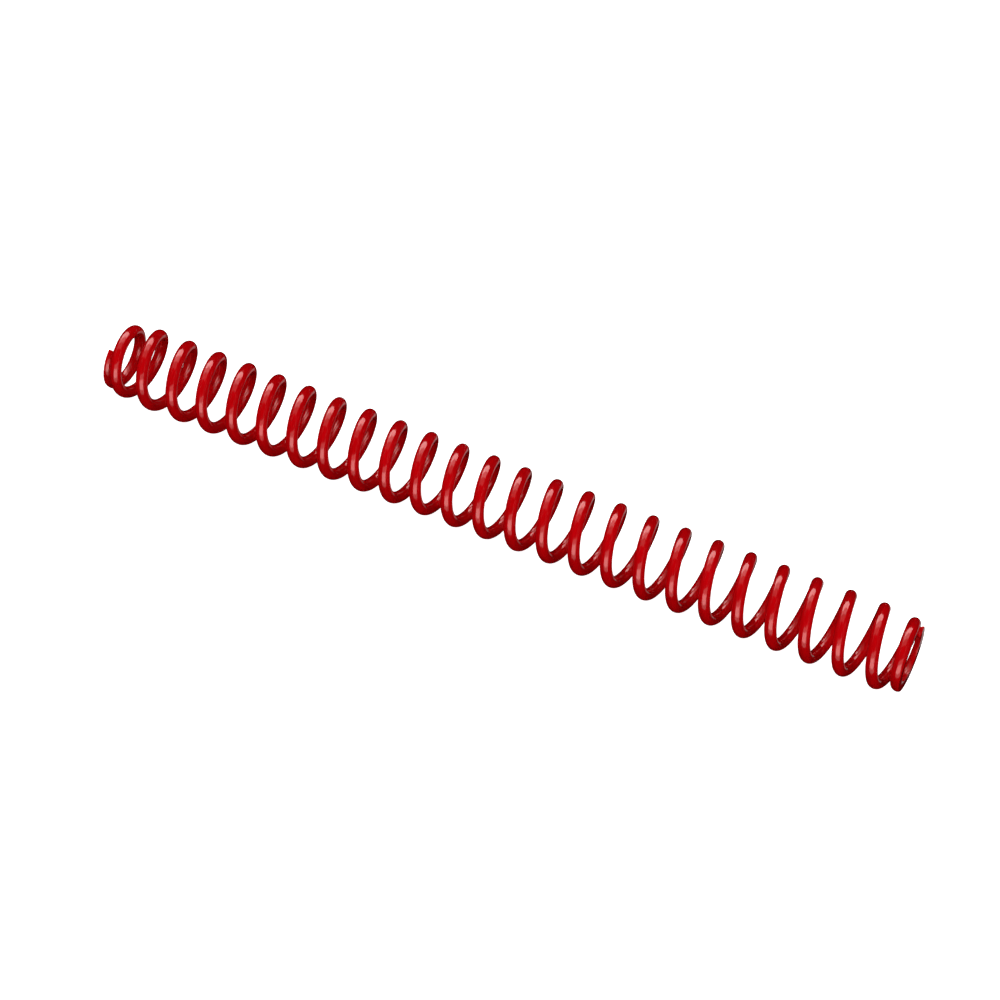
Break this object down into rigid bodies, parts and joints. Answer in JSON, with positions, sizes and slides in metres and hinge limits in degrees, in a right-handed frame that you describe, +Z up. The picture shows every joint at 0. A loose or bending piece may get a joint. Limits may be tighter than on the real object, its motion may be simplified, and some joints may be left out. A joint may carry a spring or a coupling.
{
  "type": "compression coil spring",
  "caption": "Long round-wire compression coil spring, wound right-handed, with closed and ground ends; it shortens along its axis.",
  "frame": {"origin": "centre of the ground seat of the fixed end, on the axis of the coil", "axes": "+X along the coil axis from the fixed seat to the moving seat; +Z up with the spring lying on its side, rolled so that its centre of mass is straight below the axis"},
  "size_m": [0.3741, 0.035, 0.035],
  "materials": {
    "powder_coat": "gloss"
  },
  "bodies": {
    "root": {"fixed_end_coil": "powder_coat"},
    "coil_01_upper_half": {"coil_01_upper_half": "powder_coat"},
    "coil_01_lower_half": {"coil_01_lower_half": "powder_coat"},
    "coil_02_upper_half": {"coil_02_upper_half": "powder_coat"},
    "coil_02_lower_half": {"coil_02_lower_half": "powder_coat"},
    "coil_03_upper_half": {"coil_03_upper_half": "powder_coat"},
    "coil_03_lower_half": {"coil_03_lower_half": "powder_coat"},
    "coil_04_upper_half": {"coil_04_upper_half": "powder_coat"},
    "coil_04_lower_half": {"coil_04_lower_half": "powder_coat"},
    "coil_05_upper_half": {"coil_05_upper_half": "powder_coat"},
    "coil_05_lower_half": {"coil_05_lower_half": "powder_coat"},
    "coil_06_upper_half": {"coil_06_upper_half": "powder_coat"},
    "coil_06_lower_half": {"coil_06_lower_half": "powder_coat"},
    "coil_07_upper_half": {"coil_07_upper_half": "powder_coat"},
    "coil_07_lower_half": {"coil_07_lower_half": "powder_coat"},
    "coil_08_upper_half": {"coil_08_upper_half": "powder_coat"},
    "coil_08_lower_half": {"coil_08_lower_half": "powder_coat"},
    "coil_09_upper_half": {"coil_09_upper_half": "powder_coat"},
    "coil_09_lower_half": {"coil_09_lower_half": "powder_coat"},
    "coil_10_upper_half": {"coil_10_upper_half": "powder_coat"},
    "coil_10_lower_half": {"coil_10_lower_half": "powder_coat"},
    "coil_11_upper_half": {"coil_11_upper_half": "powder_coat"},
    "coil_11_lower_half": {"coil_11_lower_half": "powder_coat"},
    "coil_12_upper_half": {"coil_12_upper_half": "powder_coat"},
    "coil_12_lower_half": {"coil_12_lower_half": "powder_coat"},
    "coil_13_upper_half": {"coil_13_upper_half": "powder_coat"},
    "coil_13_lower_half": {"coil_13_lower_half": "powder_coat"},
    "coil_14_upper_half": {"coil_14_upper_half": "powder_coat"},
    "coil_14_lower_half": {"coil_14_lower_half": "powder_coat"},
    "coil_15_upper_half": {"coil_15_upper_half": "powder_coat"},
    "coil_15_lower_half": {"coil_15_lower_half": "powder_coat"},
    "coil_16_upper_half": {"coil_16_upper_half": "powder_coat"},
    "coil_16_lower_half": {"coil_16_lower_half": "powder_coat"},
    "coil_17_upper_half": {"coil_17_upper_half": "powder_coat"},
    "coil_17_lower_half": {"coil_17_lower_half": "powder_coat"},
    "coil_18_upper_half": {"coil_18_upper_half": "powder_coat"},
    "coil_18_lower_half": {"coil_18_lower_half": "powder_coat"},
    "coil_19_upper_half": {"coil_19_upper_half": "powder_coat"},
    "coil_19_lower_half": {"coil_19_lower_half": "powder_coat"},
    "coil_20_upper_half": {"coil_20_upper_half": "powder_coat"},
    "coil_20_lower_half": {"coil_20_lower_half": "powder_coat"},
    "coil_21_upper_half": {"coil_21_upper_half": "powder_coat"},
    "coil_21_lower_half": {"coil_21_lower_half": "powder_coat"},
    "coil_22_upper_half": {"coil_22_upper_half": "powder_coat"},
    "coil_22_lower_half": {"coil_22_lower_half": "powder_coat"},
    "coil_23_upper_half": {"coil_23_upper_half": "powder_coat"},
    "coil_23_lower_half": {"coil_23_lower_half": "powder_coat"},
    "moving_end": {"moving_end_coil": "powder_coat"}
  },
  "joints": [
    {"name": "compression", "type": "slide", "parent": "root", "child": "moving_end", "axis": [-1, 0, 0], "range_m": [0, 0.14], "stiffness_N_per_m": 9330},
    {"name": "twist_01", "type": "hinge", "parent": "root", "child": "coil_01_upper_half", "pos_m": [0.0131, 0.01313, 0.00725], "axis": [0, 0.4833, -0.8755], "range_deg": [0, 5.81]},
    {"name": "twist_02", "type": "hinge", "parent": "coil_01_upper_half", "child": "coil_01_lower_half", "pos_m": [0.02053, -0.01313, -0.00725], "axis": [0, -0.4833, 0.8755], "range_deg": [0, 11.57]},
    {"name": "twist_03", "type": "hinge", "parent": "coil_01_lower_half", "child": "coil_02_upper_half", "pos_m": [0.02796, 0.01313, 0.00725], "axis": [0, 0.4833, -0.8755], "range_deg": [0, 11.57]},
    {"name": "twist_04", "type": "hinge", "parent": "coil_02_upper_half", "child": "coil_02_lower_half", "pos_m": [0.03539, -0.01313, -0.00725], "axis": [0, -0.4833, 0.8755], "range_deg": [0, 11.57]},
    {"name": "twist_05", "type": "hinge", "parent": "coil_02_lower_half", "child": "coil_03_upper_half", "pos_m": [0.04282, 0.01313, 0.00725], "axis": [0, 0.4833, -0.8755], "range_deg": [0, 11.57]},
    {"name": "twist_06", "type": "hinge", "parent": "coil_03_upper_half", "child": "coil_03_lower_half", "pos_m": [0.05025, -0.01313, -0.00725], "axis": [0, -0.4833, 0.8755], "range_deg": [0, 11.57]},
    {"name": "twist_07", "type": "hinge", "parent": "coil_03_lower_half", "child": "coil_04_upper_half", "pos_m": [0.05768, 0.01313, 0.00725], "axis": [0, 0.4833, -0.8755], "range_deg": [0, 11.57]},
    {"name": "twist_08", "type": "hinge", "parent": "coil_04_upper_half", "child": "coil_04_lower_half", "pos_m": [0.06511, -0.01313, -0.00725], "axis": [0, -0.4833, 0.8755], "range_deg": [0, 11.57]},
    {"name": "twist_09", "type": "hinge", "parent": "coil_04_lower_half", "child": "coil_05_upper_half", "pos_m": [0.07254, 0.01313, 0.00725], "axis": [0, 0.4833, -0.8755], "range_deg": [0, 11.57]},
    {"name": "twist_10", "type": "hinge", "parent": "coil_05_upper_half", "child": "coil_05_lower_half", "pos_m": [0.07997, -0.01313, -0.00725], "axis": [0, -0.4833, 0.8755], "range_deg": [0, 11.57]},
    {"name": "twist_11", "type": "hinge", "parent": "coil_05_lower_half", "child": "coil_06_upper_half", "pos_m": [0.0874, 0.01313, 0.00725], "axis": [0, 0.4833, -0.8755], "range_deg": [0, 11.57]},
    {"name": "twist_12", "type": "hinge", "parent": "coil_06_upper_half", "child": "coil_06_lower_half", "pos_m": [0.09483, -0.01313, -0.00725], "axis": [0, -0.4833, 0.8755], "range_deg": [0, 11.57]},
    {"name": "twist_13", "type": "hinge", "parent": "coil_06_lower_half", "child": "coil_07_upper_half", "pos_m": [0.10226, 0.01313, 0.00725], "axis": [0, 0.4833, -0.8755], "range_deg": [0, 11.57]},
    {"name": "twist_14", "type": "hinge", "parent": "coil_07_upper_half", "child": "coil_07_lower_half", "pos_m": [0.10969, -0.01313, -0.00725], "axis": [0, -0.4833, 0.8755], "range_deg": [0, 11.57]},
    {"name": "twist_15", "type": "hinge", "parent": "coil_07_lower_half", "child": "coil_08_upper_half", "pos_m": [0.11712, 0.01313, 0.00725], "axis": [0, 0.4833, -0.8755], "range_deg": [0, 11.57]},
    {"name": "twist_16", "type": "hinge", "parent": "coil_08_upper_half", "child": "coil_08_lower_half", "pos_m": [0.12455, -0.01313, -0.00725], "axis": [0, -0.4833, 0.8755], "range_deg": [0, 11.57]},
    {"name": "twist_17", "type": "hinge", "parent": "coil_08_lower_half", "child": "coil_09_upper_half", "pos_m": [0.13198, 0.01313, 0.00725], "axis": [0, 0.4833, -0.8755], "range_deg": [0, 11.57]},
    {"name": "twist_18", "type": "hinge", "parent": "coil_09_upper_half", "child": "coil_09_lower_half", "pos_m": [0.13941, -0.01313, -0.00725], "axis": [0, -0.4833, 0.8755], "range_deg": [0, 11.57]},
    {"name": "twist_19", "type": "hinge", "parent": "coil_09_lower_half", "child": "coil_10_upper_half", "pos_m": [0.14684, 0.01313, 0.00725], "axis": [0, 0.4833, -0.8755], "range_deg": [0, 11.57]},
    {"name": "twist_20", "type": "hinge", "parent": "coil_10_upper_half", "child": "coil_10_lower_half", "pos_m": [0.15427, -0.01313, -0.00725], "axis": [0, -0.4833, 0.8755], "range_deg": [0, 11.57]},
    {"name": "twist_21", "type": "hinge", "parent": "coil_10_lower_half", "child": "coil_11_upper_half", "pos_m": [0.1617, 0.01313, 0.00725], "axis": [0, 0.4833, -0.8755], "range_deg": [0, 11.57]},
    {"name": "twist_22", "type": "hinge", "parent": "coil_11_upper_half", "child": "coil_11_lower_half", "pos_m": [0.16913, -0.01313, -0.00725], "axis": [0, -0.4833, 0.8755], "range_deg": [0, 11.57]},
    {"name": "twist_23", "type": "hinge", "parent": "coil_11_lower_half", "child": "coil_12_upper_half", "pos_m": [0.17656, 0.01313, 0.00725], "axis": [0, 0.4833, -0.8755], "range_deg": [0, 11.57]},
    {"name": "twist_24", "type": "hinge", "parent": "coil_12_upper_half", "child": "coil_12_lower_half", "pos_m": [0.18399, -0.01313, -0.00725], "axis": [0, -0.4833, 0.8755], "range_deg": [0, 11.57]},
    {"name": "twist_25", "type": "hinge", "parent": "coil_12_lower_half", "child": "coil_13_upper_half", "pos_m": [0.19142, 0.01313, 0.00725], "axis": [0, 0.4833, -0.8755], "range_deg": [0, 11.57]},
    {"name": "twist_26", "type": "hinge", "parent": "coil_13_upper_half", "child": "coil_13_lower_half", "pos_m": [0.19885, -0.01313, -0.00725], "axis": [0, -0.4833, 0.8755], "range_deg": [0, 11.57]},
    {"name": "twist_27", "type": "hinge", "parent": "coil_13_lower_half", "child": "coil_14_upper_half", "pos_m": [0.20628, 0.01313, 0.00725], "axis": [0, 0.4833, -0.8755], "range_deg": [0, 11.57]},
    {"name": "twist_28", "type": "hinge", "parent": "coil_14_upper_half", "child": "coil_14_lower_half", "pos_m": [0.21371, -0.01313, -0.00725], "axis": [0, -0.4833, 0.8755], "range_deg": [0, 11.57]},
    {"name": "twist_29", "type": "hinge", "parent": "coil_14_lower_half", "child": "coil_15_upper_half", "pos_m": [0.22114, 0.01313, 0.00725], "axis": [0, 0.4833, -0.8755], "range_deg": [0, 11.57]},
    {"name": "twist_30", "type": "hinge", "parent": "coil_15_upper_half", "child": "coil_15_lower_half", "pos_m": [0.22857, -0.01313, -0.00725], "axis": [0, -0.4833, 0.8755], "range_deg": [0, 11.57]},
    {"name": "twist_31", "type": "hinge", "parent": "coil_15_lower_half", "child": "coil_16_upper_half", "pos_m": [0.236, 0.01313, 0.00725], "axis": [0, 0.4833, -0.8755], "range_deg": [0, 11.57]},
    {"name": "twist_32", "type": "hinge", "parent": "coil_16_upper_half", "child": "coil_16_lower_half", "pos_m": [0.24343, -0.01313, -0.00725], "axis": [0, -0.4833, 0.8755], "range_deg": [0, 11.57]},
    {"name": "twist_33", "type": "hinge", "parent": "coil_16_lower_half", "child": "coil_17_upper_half", "pos_m": [0.25086, 0.01313, 0.00725], "axis": [0, 0.4833, -0.8755], "range_deg": [0, 11.57]},
    {"name": "twist_34", "type": "hinge", "parent": "coil_17_upper_half", "child": "coil_17_lower_half", "pos_m": [0.25829, -0.01313, -0.00725], "axis": [0, -0.4833, 0.8755], "range_deg": [0, 11.57]},
    {"name": "twist_35", "type": "hinge", "parent": "coil_17_lower_half", "child": "coil_18_upper_half", "pos_m": [0.26572, 0.01313, 0.00725], "axis": [0, 0.4833, -0.8755], "range_deg": [0, 11.57]},
    {"name": "twist_36", "type": "hinge", "parent": "coil_18_upper_half", "child": "coil_18_lower_half", "pos_m": [0.27315, -0.01313, -0.00725], "axis": [0, -0.4833, 0.8755], "range_deg": [0, 11.57]},
    {"name": "twist_37", "type": "hinge", "parent": "coil_18_lower_half", "child": "coil_19_upper_half", "pos_m": [0.28058, 0.01313, 0.00725], "axis": [0, 0.4833, -0.8755], "range_deg": [0, 11.57]},
    {"name": "twist_38", "type": "hinge", "parent": "coil_19_upper_half", "child": "coil_19_lower_half", "pos_m": [0.28801, -0.01313, -0.00725], "axis": [0, -0.4833, 0.8755], "range_deg": [0, 11.57]},
    {"name": "twist_39", "type": "hinge", "parent": "coil_19_lower_half", "child": "coil_20_upper_half", "pos_m": [0.29544, 0.01313, 0.00725], "axis": [0, 0.4833, -0.8755], "range_deg": [0, 11.57]},
    {"name": "twist_40", "type": "hinge", "parent": "coil_20_upper_half", "child": "coil_20_lower_half", "pos_m": [0.30287, -0.01313, -0.00725], "axis": [0, -0.4833, 0.8755], "range_deg": [0, 11.57]},
    {"name": "twist_41", "type": "hinge", "parent": "coil_20_lower_half", "child": "coil_21_upper_half", "pos_m": [0.3103, 0.01313, 0.00725], "axis": [0, 0.4833, -0.8755], "range_deg": [0, 11.57]},
    {"name": "twist_42", "type": "hinge", "parent": "coil_21_upper_half", "child": "coil_21_lower_half", "pos_m": [0.31773, -0.01313, -0.00725], "axis": [0, -0.4833, 0.8755], "range_deg": [0, 11.57]},
    {"name": "twist_43", "type": "hinge", "parent": "coil_21_lower_half", "child": "coil_22_upper_half", "pos_m": [0.32516, 0.01313, 0.00725], "axis": [0, 0.4833, -0.8755], "range_deg": [0, 11.57]},
    {"name": "twist_44", "type": "hinge", "parent": "coil_22_upper_half", "child": "coil_22_lower_half", "pos_m": [0.33259, -0.01313, -0.00725], "axis": [0, -0.4833, 0.8755], "range_deg": [0, 11.57]},
    {"name": "twist_45", "type": "hinge", "parent": "coil_22_lower_half", "child": "coil_23_upper_half", "pos_m": [0.34002, 0.01313, 0.00725], "axis": [0, 0.4833, -0.8755], "range_deg": [0, 11.57]},
    {"name": "twist_46", "type": "hinge", "parent": "coil_23_upper_half", "child": "coil_23_lower_half", "pos_m": [0.34745, -0.01313, -0.00725], "axis": [0, -0.4833, 0.8755], "range_deg": [0, 11.57]}
  ],
  "couplings": [
    {"joint": "twist_01", "follows": "compression", "rad_per_m": 0.7181},
    {"joint": "twist_02", "follows": "compression", "rad_per_m": 1.4362},
    {"joint": "twist_03", "follows": "compression", "rad_per_m": 1.4362},
    {"joint": "twist_04", "follows": "compression", "rad_per_m": 1.4362},
    {"joint": "twist_05", "follows": "compression", "rad_per_m": 1.4362},
    {"joint": "twist_06", "follows": "compression", "rad_per_m": 1.4362},
    {"joint": "twist_07", "follows": "compression", "rad_per_m": 1.4362},
    {"joint": "twist_08", "follows": "compression", "rad_per_m": 1.4362},
    {"joint": "twist_09", "follows": "compression", "rad_per_m": 1.4362},
    {"joint": "twist_10", "follows": "compression", "rad_per_m": 1.4362},
    {"joint": "twist_11", "follows": "compression", "rad_per_m": 1.4362},
    {"joint": "twist_12", "follows": "compression", "rad_per_m": 1.4362},
    {"joint": "twist_13", "follows": "compression", "rad_per_m": 1.4362},
    {"joint": "twist_14", "follows": "compression", "rad_per_m": 1.4362},
    {"joint": "twist_15", "follows": "compression", "rad_per_m": 1.4362},
    {"joint": "twist_16", "follows": "compression", "rad_per_m": 1.4362},
    {"joint": "twist_17", "follows": "compression", "rad_per_m": 1.4362},
    {"joint": "twist_18", "follows": "compression", "rad_per_m": 1.4362},
    {"joint": "twist_19", "follows": "compression", "rad_per_m": 1.4362},
    {"joint": "twist_20", "follows": "compression", "rad_per_m": 1.4362},
    {"joint": "twist_21", "follows": "compression", "rad_per_m": 1.4362},
    {"joint": "twist_22", "follows": "compression", "rad_per_m": 1.4362},
    {"joint": "twist_23", "follows": "compression", "rad_per_m": 1.4362},
    {"joint": "twist_24", "follows": "compression", "rad_per_m": 1.4362},
    {"joint": "twist_25", "follows": "compression", "rad_per_m": 1.4362},
    {"joint": "twist_26", "follows": "compression", "rad_per_m": 1.4362},
    {"joint": "twist_27", "follows": "compression", "rad_per_m": 1.4362},
    {"joint": "twist_28", "follows": "compression", "rad_per_m": 1.4362},
    {"joint": "twist_29", "follows": "compression", "rad_per_m": 1.4362},
    {"joint": "twist_30", "follows": "compression", "rad_per_m": 1.4362},
    {"joint": "twist_31", "follows": "compression", "rad_per_m": 1.4362},
    {"joint": "twist_32", "follows": "compression", "rad_per_m": 1.4362},
    {"joint": "twist_33", "follows": "compression", "rad_per_m": 1.4362},
    {"joint": "twist_34", "follows": "compression", "rad_per_m": 1.4362},
    {"joint": "twist_35", "follows": "compression", "rad_per_m": 1.4362},
    {"joint": "twist_36", "follows": "compression", "rad_per_m": 1.4362},
    {"joint": "twist_37", "follows": "compression", "rad_per_m": 1.4362},
    {"joint": "twist_38", "follows": "compression", "rad_per_m": 1.4362},
    {"joint": "twist_39", "follows": "compression", "rad_per_m": 1.4362},
    {"joint": "twist_40", "follows": "compression", "rad_per_m": 1.4362},
    {"joint": "twist_41", "follows": "compression", "rad_per_m": 1.4362},
    {"joint": "twist_42", "follows": "compression", "rad_per_m": 1.4362},
    {"joint": "twist_43", "follows": "compression", "rad_per_m": 1.4362},
    {"joint": "twist_44", "follows": "compression", "rad_per_m": 1.4362},
    {"joint": "twist_45", "follows": "compression", "rad_per_m": 1.4362},
    {"joint": "twist_46", "follows": "compression", "rad_per_m": 1.4362}
  ]
}
